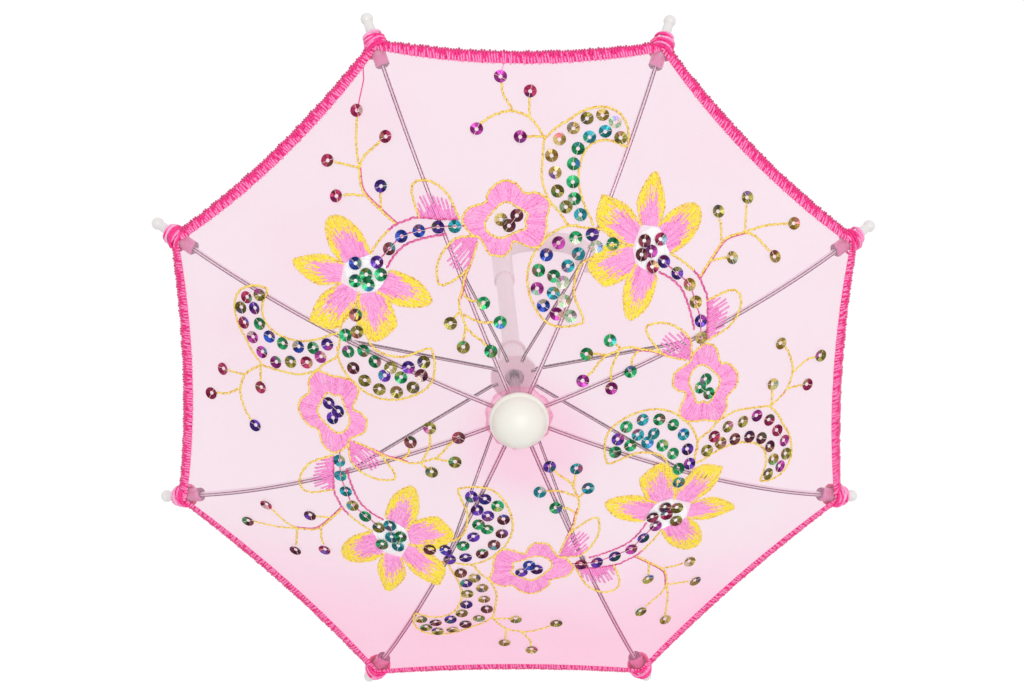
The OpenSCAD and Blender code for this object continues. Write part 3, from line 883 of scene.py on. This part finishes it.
# Sequins: 4 mm cups pressed from metallised film, with eight flats round a small hole. Each is sewn
# down through its hole with a stitch to either side, in rows along the stems and crescents.
# Each film's own dark tone, and the bright tone of its painted reflection
FILMS = {
    "emerald": ("#0a7343", "#3fd08a"),
    "teal": ("#0c7484", "#48ccd8"),
    "blue": ("#14308a", "#4a76e8"),
    "violet": ("#2d1468", "#8a4fd8"),
    "magenta": ("#840f6c", "#e25fd0"),
    "crimson": ("#8e0c44", "#e0568a"),
    "olive": ("#6f6320", "#cfc866"),
    "gold": ("#9c7a26", "#f4e39a"),
    "pearl": ("#a9d8ae", "#fff0e4"),
    "maroon": ("#571538", "#a8645c"),
}
SEQUIN_R = 2.0
SEQUIN_HOLE_R = 0.6
SEQUIN_DEPTH = 0.42

sequin_rows = [
    ([(-49.5, 41.7), (-46.3, 38.8), (-41.8, 39.2), (-49.5, 36.7), (-45.6, 35.9)],
     ("teal emerald blue", "crimson magenta maroon", "maroon olive crimson", "emerald teal")),
    ([(-43, 42.7), (-39.3, 46.8), (-35.7, 50.7), (-30.5, 52.7), (-24.9, 54.3), (-20, 54.5)],
     ("blue violet maroon teal", "gold violet emerald", "crimson violet magenta", "olive emerald teal")),
    ([(-6.3, 56.5), (-1.6, 57.6), (-3.9, 54.8)],
     ("crimson maroon gold", "maroon emerald", "blue violet", "violet emerald maroon")),
    ([(29.5, 78.6), (27.9, 82.6), (24.2, 84.5), (19.5, 83.6), (15.4, 81), (11.2, 78.1), (8.8, 73.8),
      (9.8, 69.2), (10.5, 64.3), (13, 60)],
     ("olive gold olive pearl", "magenta crimson olive", "gold olive maroon gold", "magenta olive crimson")),
    ([(24.9, 80.2), (20.2, 78.7), (16.7, 75.7), (15.3, 71.6), (15.1, 66.8), (15.5, 62.2), (17.3, 57.9)],
     ("emerald emerald teal", "gold olive maroon", "olive maroon violet", "emerald blue violet")),
    ([(26.9, 49.4), (20.8, 52.4), (15.9, 51.6), (10.8, 50.1), (7.2, 46.7), (4.9, 42.3), (4.5, 37.1),
      (6.4, 32.2), (10.3, 29.7)],
     ("blue violet magenta emerald", "emerald teal violet", "violet maroon emerald",
      "emerald olive maroon")),
    ([(22, 49), (16.7, 47), (13.6, 43.6), (9.4, 40.7), (12.1, 38.9), (9.3, 35.8), (12.6, 33.6), (14.4, 29)],
     ("pearl teal emerald", "emerald teal", "emerald blue violet", "violet emerald olive")),
    ([(-13.5, 80.7), (-6.3, 94.7), (2.6, 90.7), (-0.5, 78.7)],
     ("magenta crimson", "olive gold crimson", "olive gold", "violet crimson")),
    ([(-17.3, 19.5), (-11.4, 32.9), (-21.1, 26.5), (-6.4, 27.2), (-9.1, 18.5)],
     ("emerald olive", "magenta emerald", "emerald violet teal", "olive maroon")),
    ([(-49.2, 84.2), (-41.9, 64.1), (-55.3, 59.8), (-58, 69.2), (-40.5, 77.9)],
     ("magenta crimson violet", "olive emerald gold", "olive gold crimson", "crimson maroon")),
]


# Metallised film: a tinted mirror, with a painted reflection of its own brightness on each flat, and a
# painted stray hue on two flats of each cup
film = new_material("metallised_film", {"Metallic": 0.8, "Roughness": 0.2, "Coat Weight": 0.3})
hues = add_node(film.node_tree, "Attribute", attribute_name="film")
feed(film.node_tree, hues, film.node_tree.nodes["Principled BSDF"].inputs["Base Color"])

# Out along the film's face and back along its underside, which lies on it
sequin = rings(16, [(SEQUIN_HOLE_R, 0), (SEQUIN_R, SEQUIN_DEPTH), (SEQUIN_HOLE_R, 0)])
sequin_mesh = bpy.data.meshes.new("sequin")
sequin.to_mesh(sequin_mesh)
sequin.free()

random.seed(17)
placed = [[] for _ in range(16)]
stitches = []
for quarter in range(4):
    turn = Matrix.Rotation(-quarter * math.pi / 2, 2)
    for row, films in sequin_rows:
        row = [turn @ Vector(p) + RING_CENTRE for p in row]
        for number, at in enumerate(row):
            other = row[number + 1] if number + 1 < len(row) else row[number - 1]
            along = (other - at).normalized()
            placed[half_gore(*at)].append((at, random.choice(films[quarter].split()), along))
            for side in (-1, 1):
                ends = [at + along * side * far for far in (0.4, 1, 1.8, 2.15)]
                stitches.append([(p.x, p.y, height, 1) for p, height in zip(ends, (0.45, 0.85, 1.05, 0.3))])

for half, found in enumerate(placed):
    shape = bmesh.new()
    hue = shape.loops.layers.float_color.new("film")
    places = []
    for at, name, along in found:
        verts, faces = len(shape.verts), len(shape.faces)
        shape.from_mesh(sequin_mesh)
        shape.verts.ensure_lookup_table()
        shape.faces.ensure_lookup_table()
        reach = gore_place(at.x, at.y, half)[0]
        rise = (cloth_height(reach + 1) - cloth_height(reach - 1)) / 2
        middle = gore_middle(half)
        slope_axis = Vector((-math.sin(middle), math.cos(middle), 0))
        lie = Matrix.Rotation(-math.atan(rise) + random.uniform(-0.08, 0.08), 4, slope_axis)
        lie = Matrix.Translation((at.x, at.y, HUB + cloth_height(reach) + SEQUIN_DEPTH)) @ lie
        lie = lie @ Matrix.Rotation(random.uniform(0, 0.8), 4, "Z")
        lie = lie @ Matrix.Rotation(random.uniform(-0.06, 0.06), 4, "X")
        bmesh.ops.transform(shape, verts=shape.verts[verts:], matrix=lie)
        # Painted reflection: each flat gets its own brightness between the film's dark and bright tone, and
        # two flats a stray hue
        dark, bright = (Vector(linear(c)) for c in FILMS[name])
        stray_reflection_hue = Vector(linear(random.choice(list(FILMS.values()))[random.randrange(2)]))
        turned = random.uniform(0, math.tau)
        lights = [random.choice((0.0, 0.2, 0.4, 0.9)) for _ in range(8)]
        stray = random.randrange(8)
        for face in shape.faces[faces:]:
            middle = face.calc_center_median()
            sector = math.atan2(middle.y - at.y, middle.x - at.x) + turned
            sector = int(sector % math.tau / (math.pi / 4)) % 8
            tone = dark.lerp(bright, lights[sector])
            if sector in (stray, (stray + 1) % 8):
                tone = tone.lerp(stray_reflection_hue, 0.6)
            for loop in face.loops:
                loop[hue] = tone
        places += [(at.x, at.y)] * (len(shape.verts) - verts)
    piece = new_piece(f"sequins_{half + 1}", shape, film)
    piece.data.shade_flat()
    hang(piece, half)
    sewn_on[half].append(piece)
bpy.data.meshes.remove(sequin_mesh)

# Fine thread in a colour between the film's and the cloth's, dull beside the film
pale_thread = new_material("fine_thread", rayon, spun("#f3dccb", "#d9a9a4", 0.9))
sew("sequin_stitches", [(pale_thread, 0.15, stitches)])


# Knob: a ball with a rounded brim, moulded in ivory urea plastic and pushed down on the rod's end
# over the gathers. To the eye it is warmer and softer in its highlights than the white fittings.
ivory = new_material("ivory_urea", {"Roughness": 0.36, "IOR": 1.55}, moulded("#f2efe6", "#eae6dc", 1.4))
finish_nodes(ivory, "top_knob")


# Floor: a wide sheet of white paper, which stays white to the camera and keeps the soft shadow. On
# the object it throws back only what falls on it.
def background_rays(tree):
    """1 for the rays that show the background: straight ones, and those through or off a smooth surface."""
    path = add_node(tree, "LightPath").outputs
    clear = add_node(tree, "Math", {0: path["Is Camera Ray"], 1: path["Is Transmission Ray"]},
                     operation="MAXIMUM")
    return add_node(tree, "Math", {0: clear, 1: path["Is Glossy Ray"]}, operation="MAXIMUM")


floor_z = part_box("handle")[0].z
shape = bmesh.new()
bmesh.ops.create_grid(shape, x_segments=1, y_segments=1, size=4000)
bmesh.ops.translate(shape, verts=shape.verts, vec=(0, 0, floor_z / MM))
paper = bpy.data.materials.new("white_paper")
paper.use_nodes = True
tree = paper.node_tree
seen = background_rays(tree)
strength = add_node(tree, "MapRange", {"Value": seen, "To Max": 0.8})
glow = add_node(tree, "Emission", {"Color": linear("#ffffff"), "Strength": strength})
grey = add_node(tree, "Mix", {0: seen, 6: linear("#f4f4f4"), 7: linear("#848484")}, data_type="RGBA")
matt = add_node(tree, "BsdfDiffuse", {"Color": grey})
both = add_node(tree, "AddShader", {0: glow, 1: matt})
feed(tree, both, tree.nodes["Material Output"].inputs["Surface"])
floor = new_piece("floor", shape, paper)


# Light: an even white room with one broad lamp above the far rim, so that the shadow falls softly
# towards the near side.
world = bpy.data.worlds.new("white_room")
world.use_nodes = True
bpy.context.scene.world = world
tree = world.node_tree
strength = add_node(tree, "MapRange", {"Value": background_rays(tree), "To Min": 0.7, "To Max": 1.0})
tree.nodes["Background"].inputs["Color"].default_value = linear("#ffffff")
feed(tree, strength, tree.nodes["Background"].inputs["Strength"])
lamp = bpy.data.lights.new("broad_lamp", "SUN")
lamp.energy = 1.2
lamp.angle = math.radians(50)
key = bpy.data.objects.new("broad_lamp", lamp)
bpy.context.scene.collection.objects.link(key)
key.rotation_euler = Vector((0.1, 0.38, 0.92)).to_track_quat("Z", "Y").to_euler()


# Camera: above the canopy, 20 degrees off the shaft's line, with the knob below the middle.
lens = bpy.data.cameras.new("camera")
lens.lens = 90.7
lens.sensor_width = 36
camera = bpy.data.objects.new("camera", lens)
bpy.context.scene.collection.objects.link(camera)
turned = Matrix(((0.99923, 0.01509, 0.0361), (-0.00185, 0.93979, -0.34176), (-0.03909, 0.34143, 0.93909)))
camera.matrix_world = Matrix.Translation((-0.032363, 0.286297, 0.863907)) @ turned.transposed().to_4x4()
bpy.context.scene.camera = camera
bpy.context.scene.view_settings.view_transform = "Standard"
